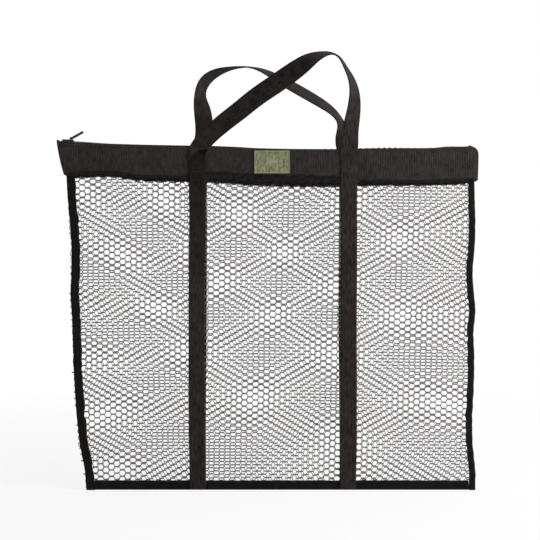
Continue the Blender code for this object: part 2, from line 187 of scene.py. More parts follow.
def clearSelection():
    if bpy.context.object and bpy.context.object.mode != "OBJECT":
        bpy.ops.object.mode_set(mode="OBJECT")
    bpy.ops.object.select_all(action="DESELECT")


def selectOnly(piece):
    clearSelection()
    piece.select_set(True)
    bpy.context.view_layer.objects.active = piece


def openMesh(action="SELECT"):
    # into edit mode, with all of the mesh selected or none of it
    bpy.ops.object.mode_set(mode="EDIT")
    bpy.ops.mesh.select_all(action=action)


def closeMesh():
    bpy.ops.object.mode_set(mode="OBJECT")


def applyModifiers(piece):
    bpy.context.view_layer.objects.active = piece
    for modifier in list(piece.modifiers):
        bpy.ops.object.modifier_apply(modifier=modifier.name)


def repeatAlong(piece, count, step):
    # the piece and its copies, each one a step on from the last
    copies = piece.modifiers.new("copies", "ARRAY")
    copies.use_relative_offset = False
    copies.use_constant_offset = True
    copies.constant_offset_displace = step
    copies.count = count
    applyModifiers(piece)


def tidyMesh(piece, angle=40):
    # faces turned outwards, edges smoothed
    selectOnly(piece)
    openMesh()
    bpy.ops.mesh.normals_make_consistent(inside=False)
    closeMesh()
    bpy.ops.object.shade_smooth_by_angle(angle=math.radians(angle))


def finishPiece(piece, name, body, slotName, material, *nodes):
    piece.name = name
    piece.data.name = name
    if not piece.data.materials:
        piece.data.materials.append(material)
    if body:
        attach(piece, body)
    if nodes:
        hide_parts(*nodes)
    return piece


def clothGrid(columns, rows, place, size, thickness, edge=0.0005, even=True):
    # a flat grid, each vertex laid where place(across, down) says, then thickened with soft edges.
    # Its UV map is in metres, so that a weave keeps its scale along the cloth.
    clearSelection()
    bpy.ops.mesh.primitive_grid_add(x_subdivisions=columns, y_subdivisions=rows, size=2)
    piece = bpy.context.object
    mesh = piece.data
    laid = []
    for vertex in mesh.vertices:
        across, down = (vertex.co.x + 1) / 2, (1 - vertex.co.y) / 2
        spot = tuple(place(across, down))
        laid.append(spot[3:] or (across * size[0], down * size[1]))
        vertex.co = spot[:3]
    for loop in mesh.loops:
        mesh.uv_layers.active.data[loop.index].uv = laid[loop.vertex_index]
    wall = piece.modifiers.new("wall", "SOLIDIFY")
    wall.thickness = thickness
    wall.offset = 0
    wall.use_even_offset = even
    if edge:
        soft = piece.modifiers.new("soft edges", "BEVEL")
        soft.width = edge
        soft.segments = 2
        soft.limit_method = "ANGLE"
        soft.angle_limit = math.radians(60)
    applyModifiers(piece)
    selectOnly(piece)
    bpy.ops.object.shade_smooth_by_angle(angle=math.radians(50))
    return piece


trackStep = 0.002  # how far apart a track's points are


def lineBetween(start, end, count, place):
    # points at even steps from start to end, each laid where place says
    return [Vector(place(mix(start, end, n / (count - 1)))) for n in range(count)]


def lengthsAlong(points):
    # how far each point lies along the line of points
    lengths = [0.0]
    for a, b in zip(points, points[1:]):
        lengths.append(lengths[-1] + (b.xyz - a.xyz).length)
    return lengths


def spotsAlong(points, lengths, places):
    # the spots at the given places along the line of points
    spots, i = [], 0
    for far in places:
        while i < len(points) - 2 and lengths[i + 1] < far:
            i += 1
        share = (far - lengths[i]) / (lengths[i + 1] - lengths[i])
        spots.append(points[i].lerp(points[i + 1], share))
    return spots


def evenTrack(points, side, normal):
    # (point, side, normal) at even steps along the line of points
    lengths = lengthsAlong(points)
    places = [n * trackStep for n in range(int(lengths[-1] / trackStep) + 1)]
    return [(spot, Vector(side), Vector(normal)) for spot in spotsAlong(points, lengths, places)]


def layAlong(piece, track):
    # bends a straight piece, which runs along X, on to a track
    for vertex in piece.data.vertices:
        t = min(max(vertex.co.x / trackStep, 0.0), len(track) - 1.001)
        i = int(t)
        spot, side, normal = (a.lerp(b, t - i) for a, b in zip(track[i], track[i + 1]))
        vertex.co = spot + side * vertex.co.y + normal * vertex.co.z


def addNode(tree, kind, **settings):
    node = tree.nodes.new(kind)
    for key, value in settings.items():
        setattr(node, key, value)
    return node


def feed(tree, value, socket):
    # joins a socket to another, or sets a number on it
    if isinstance(value, bpy.types.NodeSocket):
        tree.links.new(value, socket)
    else:
        socket.default_value = value


def compute(tree, operation, a, b=0.0, clamp=False):
    node = addNode(tree, "ShaderNodeMath", operation=operation, use_clamp=clamp)
    feed(tree, a, node.inputs[0])
    feed(tree, b, node.inputs[1])
    return node.outputs[0]


def newGroup(name, inputs, outputs):
    group = bpy.data.node_groups.new(name, "ShaderNodeTree")
    for label, kind in inputs:
        group.interface.new_socket(label, in_out="INPUT", socket_type=kind)
    for label, kind in outputs:
        group.interface.new_socket(label, in_out="OUTPUT", socket_type=kind)
    return group, addNode(group, "NodeGroupInput"), addNode(group, "NodeGroupOutput")


def makeWeaveGroup():
    # ribs along the cloth crossed by yarns, each rib half a yarn on from the last
    group, given, result = newGroup(
        "clothWeave",
        [("Place", "NodeSocketVector"), ("Rib", "NodeSocketFloat"), ("Yarn", "NodeSocketFloat")],
        [("Height", "NodeSocketFloat"), ("Shade", "NodeSocketFloat")])
    split = addNode(group, "ShaderNodeSeparateXYZ")
    feed(group, given.outputs["Place"], split.inputs[0])
    ribs = compute(group, "DIVIDE", split.outputs[0], given.outputs["Rib"])
    yarns = compute(group, "DIVIDE", split.outputs[1], given.outputs["Yarn"])
    shifted = compute(group, "ADD", yarns, compute(group, "MULTIPLY", compute(group, "FLOOR", ribs), 0.5))
    rounds = [compute(group, "SINE", compute(group, "MULTIPLY", turns, math.pi)) for turns in (ribs, shifted)]
    ribRound, yarnRound = (compute(group, "ABSOLUTE", turn) for turn in rounds)
    height = compute(group, "MULTIPLY", compute(group, "POWER", ribRound, 0.6),
                     compute(group, "ADD", compute(group, "MULTIPLY", yarnRound, 0.6), 0.4))
    feed(group, height, result.inputs["Height"])
    stretch = addNode(group, "ShaderNodeMapping")
    feed(group, given.outputs["Place"], stretch.inputs["Vector"])
    stretch.inputs["Scale"].default_value = (420, 90, 1)
    streaks = addNode(group, "ShaderNodeTexNoise")
    feed(group, stretch.outputs[0], streaks.inputs["Vector"])
    streaks.inputs["Scale"].default_value = 1.0
    streaks.inputs["Detail"].default_value = 2.0
    uneven = compute(group, "SUBTRACT", streaks.outputs["Fac"], 0.25)
    uneven = compute(group, "MULTIPLY", uneven, 2.0, clamp=True)
    feed(group, compute(group, "MULTIPLY", height, uneven), result.inputs["Shade"])
    return group


def makeToneGroup():
    # broad light and dark patches, and a fine fuzz, over a cloth or an enamel
    group, given, result = newGroup(
        "wornTone",
        [("Patch Size", "NodeSocketFloat"), ("Fuzz Size", "NodeSocketFloat")],
        [("Tone", "NodeSocketFloat"), ("Fuzz", "NodeSocketFloat")])
    where = addNode(group, "ShaderNodeTexCoord")
    for label, size, detail in (("Tone", "Patch Size", 3.0), ("Fuzz", "Fuzz Size", 2.0)):
        cloud = addNode(group, "ShaderNodeTexNoise")
        feed(group, where.outputs["Object"], cloud.inputs["Vector"])
        feed(group, compute(group, "DIVIDE", 1.0, given.outputs[size]), cloud.inputs["Scale"])
        cloud.inputs["Detail"].default_value = detail
        feed(group, cloud.outputs["Fac"], result.inputs[label])
    return group


weaveGroup = makeWeaveGroup()
toneGroup = makeToneGroup()


def placeGroup(tree, group, **values):
    node = addNode(tree, "ShaderNodeGroup", node_tree=group)
    for label, value in values.items():
        feed(tree, value, node.inputs[label.replace("_", " ")])
    return node


def blendColours(tree, share, dark, light):
    node = addNode(tree, "ShaderNodeMix", data_type="RGBA")
    feed(tree, share, node.inputs[0])
    node.inputs[6].default_value = (*dark, 1)
    node.inputs[7].default_value = (*light, 1)
    return node.outputs[2]


def newMaterial(name):
    material = bpy.data.materials.new(name)
    material.use_nodes = True
    return material, material.node_tree, material.node_tree.nodes["Principled BSDF"]


def addBump(tree, shader, height, distance, strength=1.0):
    bump = addNode(tree, "ShaderNodeBump")
    bump.inputs["Distance"].default_value = distance
    bump.inputs["Strength"].default_value = strength
    feed(tree, height, bump.inputs["Height"])
    feed(tree, bump.outputs[0], shader.inputs["Normal"])


def paintedFoldShade(tree, place, fold):
    # painted shade: the webbing darkens up to the fold at its left root, and most in the tuck under it, as
    # the fold would shade it
    split = addNode(tree, "ShaderNodeSeparateXYZ")
    feed(tree, place, split.inputs[0])
    across = compute(tree, "SUBTRACT", split.outputs[0], fold["across"])
    along = compute(tree, "SUBTRACT", split.outputs[1], fold["along"])
    below = compute(tree, "SUBTRACT", across, along)
    corner = compute(tree, "MINIMUM", below, compute(tree, "ADD", across, along))
    tuck = compute(tree, "DIVIDE", corner, fold["tuckEdge"], clamp=True)
    climb = compute(tree, "ADD", compute(tree, "DIVIDE", along, fold["climb"]), 1.0, clamp=True)
    shade = compute(tree, "MULTIPLY", climb, compute(tree, "DIVIDE", below, fold["edge"], clamp=True))
    return compute(tree, "MAXIMUM", compute(tree, "MULTIPLY", shade, fold["shade"]), tuck)


def clothMaterial(name, look):
    material, tree, shader = newMaterial(name)
    tone = placeGroup(tree, toneGroup, Patch_Size=look["patches"], Fuzz_Size=look["fuzz"])
    share = compute(tree, "MULTIPLY", compute(tree, "SUBTRACT", tone.outputs["Tone"], 0.3), 1.6, clamp=True)
    height = tone.outputs["Fuzz"]
    if look.get("rib"):  # woven: ribs and yarns over the tone
        uv = addNode(tree, "ShaderNodeUVMap", uv_map="UVMap")
        weave = placeGroup(tree, weaveGroup, Place=uv.outputs[0], Rib=look["rib"], Yarn=look["yarn"])
        share = compute(tree, "ADD", compute(tree, "MULTIPLY", share, 0.45),
                        compute(tree, "MULTIPLY", weave.outputs["Shade"], 0.85), clamp=True)
        height = compute(tree, "ADD", weave.outputs["Height"], compute(tree, "MULTIPLY", height, 0.35))
    # painted shade at the left root's fold, laid into the webbing's colour
    if look.get("fold"):
        shade = paintedFoldShade(tree, uv.outputs[0], look["fold"])
        share = compute(tree, "MULTIPLY", share, compute(tree, "SUBTRACT", 1.0, shade))
    feed(tree, blendColours(tree, share, look["dark"], look["light"]), shader.inputs["Base Color"])
    rough = compute(tree, "ADD", compute(tree, "MULTIPLY", tone.outputs["Fuzz"], 0.2), look["rough"] - 0.1)
    feed(tree, rough, shader.inputs["Roughness"])
    shader.inputs["Specular IOR Level"].default_value = look.get("specular", 0.15)
    addBump(tree, shader, height, look["bump"], 0.8)
    return material


finishes = {
    "webbing": {"dark": (0.0028, 0.0025, 0.0023), "light": (0.057, 0.0465, 0.045), "rough": 0.82,
                "rib": 0.0021, "yarn": 0.0030, "patches": 0.014, "fuzz": 0.0012,
                "bump": 0.0006, "specular": 0.06,
                # painted shade in the fold at the left root of each handle: where it sits, how far it climbs
                # and how dark it gets
                "fold": {"across": 0.0120, "along": 0.4950, "climb": 0.22, "shade": 0.64, "edge": 0.002,
                         "tuckEdge": 0.0025}},
    "bandWebbing": {"dark": (0.006, 0.0055, 0.005), "light": (0.051, 0.042, 0.040), "rough": 0.84,
                    "rib": 0.0025, "yarn": 0.0036, "patches": 0.012, "fuzz": 0.0014, "bump": 0.0007},
    "bindingTape": {"dark": (0.002, 0.002, 0.0018), "light": (0.017, 0.015, 0.014), "rough": 0.9,
                    "rib": 0.0013, "yarn": 0.0017, "patches": 0.007, "fuzz": 0.0011,
                    "bump": 0.0005, "specular": 0.08},
    "netCord": {"dark": (0.155, 0.143, 0.143), "light": (0.300, 0.276, 0.276), "rough": 0.75, "patches": 0.03,
                "fuzz": 0.0007, "bump": 0.0003},
    "seamNet": {"dark": (0.004, 0.0035, 0.0035), "light": (0.024, 0.021, 0.020), "rough": 0.9,
                "patches": 0.004, "fuzz": 0.0009, "bump": 0.0006, "specular": 0.08},
    "zipTape": {"dark": (0.030, 0.028, 0.028), "light": (0.085, 0.082, 0.080), "rough": 0.88, "rib": 0.0011,
                "yarn": 0.0012, "patches": 0.03, "fuzz": 0.0009, "bump": 0.0002},
    "coilNylon": {"dark": (0.014, 0.014, 0.014), "light": (0.030, 0.030, 0.030), "rough": 0.42,
                  "patches": 0.02, "fuzz": 0.0006, "bump": 0.00008, "specular": 0.5},
    "thread": {"dark": (0.016, 0.014, 0.013), "light": (0.050, 0.043, 0.040), "rough": 0.6, "patches": 0.01,
               "fuzz": 0.0004, "bump": 0.0002, "specular": 0.3},
    "patchField": {"dark": (0.050, 0.062, 0.018), "light": (0.430, 0.440, 0.270), "rough": 0.8, "rib": 0.0012,
                   "yarn": 0.0016, "patches": 0.0045, "fuzz": 0.0008, "bump": 0.0003},
    "patchLine": {"dark": (0.160, 0.172, 0.100), "light": (0.400, 0.410, 0.290), "rough": 0.75, "rib": 0.0012,
                  "yarn": 0.0009, "patches": 0.01, "fuzz": 0.0005, "bump": 0.0003},
    "patchEdge": {"dark": (0.014, 0.018, 0.007), "light": (0.055, 0.063, 0.027), "rough": 0.8, "rib": 0.0012,
                  "yarn": 0.0009, "patches": 0.01, "fuzz": 0.0005, "bump": 0.0003},
}
cloths = {name: clothMaterial(name, look) for name, look in finishes.items()}


enamelLook = {"dark": (0.010, 0.0095, 0.009), "light": (0.050, 0.048, 0.046),
              "patches": 0.004, "fuzz": 0.0006}


def enamelMaterial(name):
    # black enamel with the paint thinner and duller in places
    material, tree, shader = newMaterial(name)
    tone = placeGroup(tree, toneGroup, Patch_Size=enamelLook["patches"], Fuzz_Size=enamelLook["fuzz"])
    rubbed = compute(tree, "MULTIPLY", compute(tree, "SUBTRACT", tone.outputs["Tone"], 0.58), 5.0, clamp=True)
    colour = blendColours(tree, rubbed, enamelLook["dark"], enamelLook["light"])
    feed(tree, colour, shader.inputs["Base Color"])
    rough = compute(tree, "ADD", compute(tree, "MULTIPLY", rubbed, 0.15), 0.45)
    feed(tree, rough, shader.inputs["Roughness"])
    feed(tree, compute(tree, "MULTIPLY", rubbed, 0.5), shader.inputs["Metallic"])
    shader.inputs["Specular IOR Level"].default_value = 0.25
    addBump(tree, shader, tone.outputs["Fuzz"], 0.00006)
    return material


enamel = enamelMaterial("enamel")
print("materials made")

# the net: flat-topped hexagon meshes, their level sides thicker because two yarns run together there
net = {
    "cord": 0.00039, "level": 0.00092, "height": 0.00042, "columns": 43, "rows": 64, "weld": 0.00004,
    "start": (-0.0015, -0.3330), "shift": 0.3,
    "wander": 0.0010, "jitter": 0.0003, "pucker": 0.0012, "sink": 0.0006,
    # half a mesh, out to its level side, that side's ends, its corners and its slanting sides
    "toLevel": 0.00485, "toEnd": 0.0050, "toCorner": 0.00533, "toSlant": 0.00467,
    # where it is cut, and how far the front net's ends stick out past the left binding
    "inside": 0.0013, "underBand": 0.009, "overHem": 0.0015, "ends": 0.0030, "endsUneven": 0.0022,
    # each layer's own mesh: what one column and one row move it by, and how its columns lean and
    # its rows drop across it
    "front": {"column": (0.00820, -0.00010), "row": (0.00008, 0.00966), "seed": 1.7,
              "lean": [(-0.31, -0.052), (-0.135, -0.047), (-0.09, -0.012), (0, 0), (0.1, 0.012),
                       (0.2, 0.024), (0.3, 0.032)],
              "drop": [(-0.31, 0.0078), (-0.115, 0), (0.31, 0)]},
    "back": {"column": (0.00772, -0.00007), "row": (0.00022, 0.00902), "seed": 8.3,
             "lean": [(-0.31, 0), (0.31, 0)], "drop": [(-0.31, 0), (0.31, 0)]},
}


def shapeMesh(spot):
    # the inner rim's place for a point on the outer hexagon: thick level sides, rounded corners
    across, up = abs(spot.x), abs(spot.y)
    if up > 0.49 and across < 0.1:  # the middle of a level side
        wide, tall = 1, 1 - 1.1 * net["level"] / net["toLevel"]
    elif up > 0.49:  # a level side's end
        wide, tall = 0.885, 0.97 - 0.9 * net["level"] / net["toEnd"]
    elif up < 0.01:  # the corner at the left or the right
        wide, tall = 1 - 1.9 * net["cord"] / net["toCorner"], 1
    else:
        wide = tall = 1 - net["cord"] / net["toSlant"]
    return spot.x * wide, spot.y * tall


def netMesh():
    # two neighbouring meshes of the net in units of a column and a row: each is a ring, doubled, and
    # closed at its inner rim
    clearSelection()
    bpy.ops.mesh.primitive_circle_add(vertices=6, radius=2 / 3, fill_type="NGON",
                                      rotation=(0, 0, math.radians(90)))
    bpy.ops.object.transform_apply(rotation=True)
    piece = bpy.context.object
    mesh = piece.data
    openMesh()
    bpy.ops.transform.resize(value=(1, math.sqrt(3) / 2, 1))
    bpy.ops.mesh.subdivide(number_cuts=1)
    bpy.ops.mesh.select_all(action="SELECT")
    bpy.ops.mesh.inset(thickness=0.06)
    bpy.ops.mesh.delete(type="FACE")
    closeMesh()
    isOuter = [max(2 * abs(v.co.y), 1.5 * abs(v.co.x) + abs(v.co.y)) > 0.97 for v in mesh.vertices]
    outer = [v.co.copy() for v, edge in zip(mesh.vertices, isOuter) if edge]
    for vertex, edge in zip(mesh.vertices, isOuter):
        if edge:
            vertex.co.z = 1
        else:
            nearest = max(outer, key=lambda spot: spot.normalized().dot(vertex.co.normalized()))
            vertex.co.x, vertex.co.y = shapeMesh(nearest)
    openMesh()
    bpy.ops.mesh.duplicate()
    bpy.ops.mesh.flip_normals()
    closeMesh()
    for vertex in mesh.vertices:
        if vertex.select and vertex.co.z > 0.5:
            vertex.co.z = -1
    openMesh()
    bpy.ops.mesh.remove_doubles(threshold=0.002)
    bpy.ops.mesh.select_all(action="SELECT")
    bpy.ops.mesh.duplicate_move(TRANSFORM_OT_translate={"value": (1, 0.5, 0)})
    closeMesh()
    return piece


def layNet(mesh, layer):
    # from columns and rows to metres, over the whole panel
    (columnX, columnZ), (rowX, rowZ) = layer["column"], layer["row"]
    (startX, startZ), wander, seed = net["start"], net["wander"], layer["seed"]
    for vertex in mesh.vertices:
        across, up = vertex.co.x - net["columns"] + net["shift"], vertex.co.y - net["rows"] / 2
        x = startX + across * columnX + up * rowX
        z = startZ + across * columnZ + up * rowZ
        x, z = x + through(layer["lean"], x) * (z - startZ), z - through(layer["drop"], x)
        dx, dz = ripple(x, z, 0.09, seed), ripple(x, z, 0.12, seed + 5)
        jitter = ripple(x, z, 0.007, seed + 9) * net["jitter"]
        vertex.co = (x + wander * dx + jitter, -vertex.co.z * net["height"], z + wander * dz)


def outsideNet(x, z, side, seed):
    # what is cut away: past the bindings, over the band's lower edge and under the hem
    past = -net["inside"]
    if side == front:
        past = net["ends"] + net["endsUneven"] * ripple(0, z, 0.012, seed)
        past *= smooth((-0.13 - z) / 0.05)
    return (x < leftEdge(z) - past or x > rightEdge(z) - net["inside"]
            or z > bandBottom(x) + net["underBand"] or z < bag["hem"] + net["overHem"])


def netPanel(side, layer):
    piece = netMesh()
    repeatAlong(piece, net["columns"], (2, 0, 0))
    repeatAlong(piece, net["rows"], (0, 1, 0))
    mesh = piece.data
    layNet(mesh, layer)
    openMesh("DESELECT")
    bpy.ops.mesh.select_mode(type="VERT")
    closeMesh()
    for vertex in mesh.vertices:
        vertex.select = outsideNet(vertex.co.x, vertex.co.z, side, layer["seed"])
    bpy.ops.object.mode_set(mode="EDIT")
    bpy.ops.mesh.delete(type="VERT")
    bpy.ops.mesh.select_all(action="SELECT")
    bpy.ops.mesh.remove_doubles(threshold=net["weld"])
    # the cut rims are drawn flat, so that they close
    bpy.ops.mesh.select_non_manifold(extend=False, use_multi_face=False, use_non_contiguous=False,
                                     use_verts=False)
    closeMesh()
    for vertex in mesh.vertices:
        if vertex.select:
            vertex.co.y = 0
    openMesh()
    bpy.ops.mesh.remove_doubles(threshold=net["weld"])
    closeMesh()
    for vertex in mesh.vertices:
        x, z = vertex.co.x, vertex.co.z
        pucker = net["pucker"] * spread(x, z) * (0.5 + 0.5 * ripple(x, z, 0.07, layer["seed"] + 20))
        vertex.co.y += side * (netOuter(x, z) - net["sink"] + pucker)
    selectOnly(piece)
    bpy.ops.object.shade_smooth()
    return piece


for word, side in faces:
    piece = netPanel(side, net[word.lower()])
    finishPiece(piece, "net" + word, "bag", "net", cloths["netCord"], "net_panel_" + word.lower())
    print("net", word, "made,", len(piece.data.polygons), "faces")

# the webbing band round the mouth
band = {"columns": 154, "rows": 16, "uneven": 0.0007, "puff": 0.0005, "sag": 0.0010, "fray": 0.0007,
        # small scallops in its top edge, right of the patch
        "scallop": 0.0008, "scallopPitch": 0.0085,
        "scallopFrom": 0.06, "scallopTo": 0.22, "scallopFade": 0.04}


def scallopAt(x):
    begins = smooth((x - band["scallopFrom"]) / band["scallopFade"])
    ends = smooth((band["scallopTo"] - x) / band["scallopFade"])
    return band["scallop"] * math.sin(2 * math.pi * x / band["scallopPitch"]) * begins * ends


def bandPiece(side):
    def place(across, down):
        depth = bag["bandHeight"] * down ** 1.5
        x = mix(bandLeft(depth), bandRight(depth), across)
        uneven = band["uneven"] * ripple(x, depth, 0.035, 3 + side) * math.sin(math.pi * across)
        puff = band["puff"] * (1 + ripple(x, depth, 0.05, 9)) * math.sin(math.pi * down)
        y = side * (bandInner(x, depth) + bag["bandThick"] / 2 + puff)
        hang = band["sag"] * ripple(x, 0, 0.022, 5 + side) * down
        hang += band["fray"] * ripple(x, 0, 0.006, 6 + side) * down ** 4
        z = mix(bandTop(x), bandBottom(x), depth / bag["bandHeight"]) - hang * smooth(across * 40)
        return x, y + side * max(uneven, -0.0004), z + scallopAt(x) * (1 - down) ** 6, x, depth

    return clothGrid(band["columns"], band["rows"], place, (1, 1), bag["bandThick"])


for word, side in faces:
    piece = bandPiece(side)
    finishPiece(piece, "band" + word, "bag", "band_webbing", cloths["bandWebbing"],
                "top_band_" + word.lower())
print("band made")

# the straps sewn down each face
strap = {"width": 0.0250, "lowWidth": 0.0236, "thick": 0.0018, "columns": 8, "legRows": 110, "foot": -0.5650,
         "overNet": 0.0014, "gap": 0.0003, "lowest": 0.0030, "wander": 0.0010, "shift": 0.0008,
         "cup": 0.0008, "uneven": 0.0003}


def strapWidth(z):
    return mix(strap["width"], strap["lowWidth"], smooth((bag["underBand"] - z) / 0.05))


def strapFace(x, z):
    # how far the strap's inner face stands from the middle plane
    onNet = max(netOuter(x, z) + strap["overNet"] * spread(x, z) + strap["gap"], strap["lowest"])
    return mix(bag["strapFace"], onNet, smooth((bandBottom(x) + 0.001 - z) / 0.010))


def strapCentre(centre, z):
    wander = strap["wander"] * ripple(centre, z, 0.12, 2.5) * smooth((-0.12 - z) / 0.05)
    return centre + wander - strap["shift"] * smooth((bag["underBand"] - z) / 0.04)


# handle routes from the left leg to the right one: share of the way across, shares of the lean away
# from the bag and of the rise over the fold line, and the turn in degrees
handles = {
    "front": {"rise": 0.147, "lean": 0.060, "route": [
        (0, 0, 0, 0), (0, 0, 0.048, 0), (-0.009, 0, 0.105, 0), (0.004, 0.005, 0.164, 0),
        (0.054, 0.05, 0.244, 0), (0.092, 0.1, 0.3, 0), (0.19, 0.2, 0.414, 1), (0.275, 0.3, 0.5, 2),
        (0.351, 0.417, 0.585, 4), (0.429, 0.533, 0.661, 5), (0.505, 0.65, 0.724, 6), (0.586, 0.75, 0.8, 9),
        (0.643, 0.833, 0.853, 15), (0.714, 0.917, 0.92, 30), (0.781, 0.983, 0.968, 55), (0.85, 1, 1, 70),
        (0.912, 0.967, 0.973, 75), (0.952, 0.883, 0.871, 71), (0.99, 0.767, 0.782, 63),
        (1.014, 0.633, 0.687, 55), (1.022, 0.483, 0.585, 46), (1.019, 0.317, 0.483, 37),
        (1.01, 0.183, 0.381, 29), (1.003, 0.083, 0.293, 17), (1.004, 0.017, 0.204, 0), (1, 0, 0.129, 0),
        (1, 0, 0.054, 0), (1, 0, 0, 0)]},
    "back": {"rise": 0.154, "lean": 0.024, "route": [
        (0, 0, 0, 0), (0, 0, 0.084, 0), (0.01, 0, 0.156, 0), (0.033, 0.02, 0.26, 0),
        (0.037, 0.17, 0.357, -4), (0.026, 0.38, 0.519, -15), (0.002, 0.54, 0.675, -58),
        (0.01, 0.67, 0.786, -64), (0.048, 0.79, 0.87, -68), (0.113, 0.875, 0.935, -80),
        (0.21, 0.96, 0.981, -97), (0.315, 1, 1, -103), (0.411, 1, 0.974, -110), (0.5, 0.96, 0.908, -122),
        (0.598, 0.92, 0.826, -131), (0.702, 0.83, 0.738, -132), (0.808, 0.71, 0.645, -131),
        (0.9, 0.54, 0.552, -125), (0.962, 0.375, 0.44, -113), (0.98, 0.21, 0.335, -140),
        (0.972, 0.04, 0.247, -178), (0.983, 0, 0.162, -180), (1, 0, 0.084, -180), (1, 0, 0, -180)]},
    "rows": 150, "samples": 960, "widen": 0.13, "cup": 0.0020, "hinge": 0.01105,
}


def handleTrack(side, look):
    # the handle's middle line from fold to fold: (point, sideways, facing) at even steps, and its length
    stops = []
    for across, lean, rise, turn in look["route"]:
        y = side * (bag["strapFace"] + strap["thick"] / 2 + look["lean"] * lean)
        stops.append(Vector((mix(bag["strapLeft"], bag["strapRight"], across), y,
                             bag["fold"] + look["rise"] * rise, math.radians(turn))))
    stops = [stops[0] * 2 - stops[1]] + stops + [stops[-1] * 2 - stops[-2]]
    line = []
    for n in range(handles["samples"] + 1):
        t = n / handles["samples"] * (len(stops) - 3)
        i = min(int(t), len(stops) - 4)
        f = t - i
        weights = ((1 - f) ** 3 / 6, (3 * f ** 3 - 6 * f ** 2 + 4) / 6,
                   (-3 * f ** 3 + 3 * f ** 2 + 3 * f + 1) / 6, f ** 3 / 6)
        line.append(sum((stops[i + k] * w for k, w in enumerate(weights)), Vector((0, 0, 0, 0))))
    lengths, rows, track = lengthsAlong(line), handles["rows"], []
    even = spotsAlong(line, lengths, [lengths[-1] * n / rows for n in range(rows + 1)])
    for i, spot in enumerate(even):
        tangent = (even[min(i + 1, len(even) - 1)].xyz - even[max(i - 1, 0)].xyz).normalized()
        if i in (0, len(even) - 1):
            tangent = Vector((0, 0, 1 if i == 0 else -1))
        facing = Vector((0, -1, 0))
        facing = (facing - tangent * facing.dot(tangent)).normalized()
        turned = facing * math.cos(spot.w) + facing.cross(tangent) * math.sin(spot.w)
        track.append((spot.xyz, tangent.cross(turned).normalized(), turned))
    return track, lengths[-1]


def webbingLoop(side, look):
    # one length of webbing: up the left leg from the hem, round the handle, and down the right leg
    track, length = handleTrack(side, look)
    legRows, legLength = strap["legRows"], bag["fold"] - strap["foot"]
    rows = 2 * legRows + handles["rows"]

    def place(across, down):
        n = round(down * rows)
        off, u = across - 0.5, across * strap["width"]
        if legRows <= n <= legRows + handles["rows"]:
            spot, sideways, facing = track[n - legRows]
            share = (n - legRows) / handles["rows"]
            ease = math.sin(math.pi * share)
            wide = strap["width"] * (1 + handles["widen"] * ease)
            spot = spot + sideways * off * wide + facing * handles["cup"] * off * off * ease
            return *spot, u, legLength + share * length
        left = n < legRows
        share = n / legRows if left else (rows - n) / legRows
        z = mix(strap["foot"], bag["fold"], share)
        sideways = track[0 if left else -1][1].x
        x = strapCentre(bag["strapLeft" if left else "strapRight"], z) + sideways * off * strapWidth(z)
        uneven = strap["uneven"] * ripple(x, z, 0.03, 4) * smooth(4 - 4 * share)
        y = side * (strapFace(x, z) + strap["thick"] / 2 - strap["cup"] * off * off + uneven)
        return x, y, z, u, share * legLength if left else 2 * legLength + length - share * legLength

    return clothGrid(strap["columns"], rows, place, (1, 1), strap["thick"])


for word, side in (("front", front), ("back", back)):
    piece = webbingLoop(side, handles[word])
    finishPiece(piece, "webbing" + word.title(), None, "webbing", cloths["webbing"],
                "handle_" + word, "strap_%s_left" % word, "strap_%s_right" % word)
    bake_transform(piece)
print("straps and handles made")

# folded tape round the panels' edges
binding = {"left": 0.0118, "right": 0.0086, "hem": 0.0128, "half": 0.0020, "round": 0.0024, "turn": 0.0035,
           "over": 0.0012, "thick": 0.0010, "columns": 22, "rows": 170, "hemRows": 150, "intoBand": 0.008,
           "lump": 0.0007, "hemLump": 0.0005, "wave": 0.0009, "hemFrom": 0.0125, "hemTo": 0.0100}


def foldedTape(share, width):
    # (distance in from the fold, height off the middle plane) across a folded tape
    walk, turn = (2 * share - 1) * (width + binding["over"]), binding["turn"]
    if abs(walk) < turn:
        angle = walk / turn * math.pi / 2
        return binding["round"] * (1 - math.cos(angle)), binding["half"] * math.sin(angle)
    return binding["round"] + (abs(walk) - turn), math.copysign(binding["half"], walk)


def sideBinding(edge, inward, width):
    def place(across, down):
        z = mix(bandBottom(edge(bag["underBand"])) + binding["intoBand"], bag["hem"], down)
        free = smooth((-0.115 - z) / 0.02)  # 0 where the band holds it, and 1 below
        wide = width * (1 + 0.16 * ripple(0, z, 0.016, 5 + inward) + 0.10 * ripple(0, z, 0.006, 7 + inward))
        inside, off = foldedTape(across, wide)
        lump = binding["lump"] * max(ripple(inside, z, 0.007, 11 + inward), 0) * free
        wave = binding["wave"] * ripple(0, z, 0.011, 13 + inward) * free * smooth((z + 0.565) / 0.01)
        return edge(z) + inward * (inside + wave), off * (1 + lump / binding["half"]), z

    return clothGrid(binding["columns"], binding["rows"], place, (2 * width, 0.46), binding["thick"],
                     edge=0.0003)


def hemBinding():
    def place(across, down):
        left, right = leftEdge(bag["overHem"]), rightEdge(bag["overHem"])
        x = mix(left + binding["hemFrom"], right - binding["hemTo"], down)
        inside, off = foldedTape(across, binding["hem"] * (1 + 0.06 * ripple(x, 0, 0.02, 3)))
        lump = binding["hemLump"] * max(ripple(x, inside, 0.009, 17), 0)
        return x, -off * (1 + lump / binding["half"]), bag["hem"] + 0.0005 + inside

    return clothGrid(binding["columns"], binding["hemRows"], place, (0.026, 0.57), binding["thick"],
                     edge=0.0003)


# the tabs that close the band's ends
tab = {"over": 0.0012, "depth": 0.0417, "clear": 0.0009, "bow": 0.0006, "thick": 0.0010}


def endTab(edge, inward):
    def place(across, down):
        depth = mix(-tab["over"], tab["depth"], down)
        onBand = max(depth, 0.0)
        x = edge(onBand) + inward * (tab["clear"] + tab["bow"] * math.cos(math.pi * (across - 0.5)) * down)
        return x, (across - 0.5) * 2 * (bandInner(x, onBand) - 0.0003), zipLine(x) - depth

    return clothGrid(8, 20, place, (0.014, 0.043), tab["thick"], edge=0.0003)


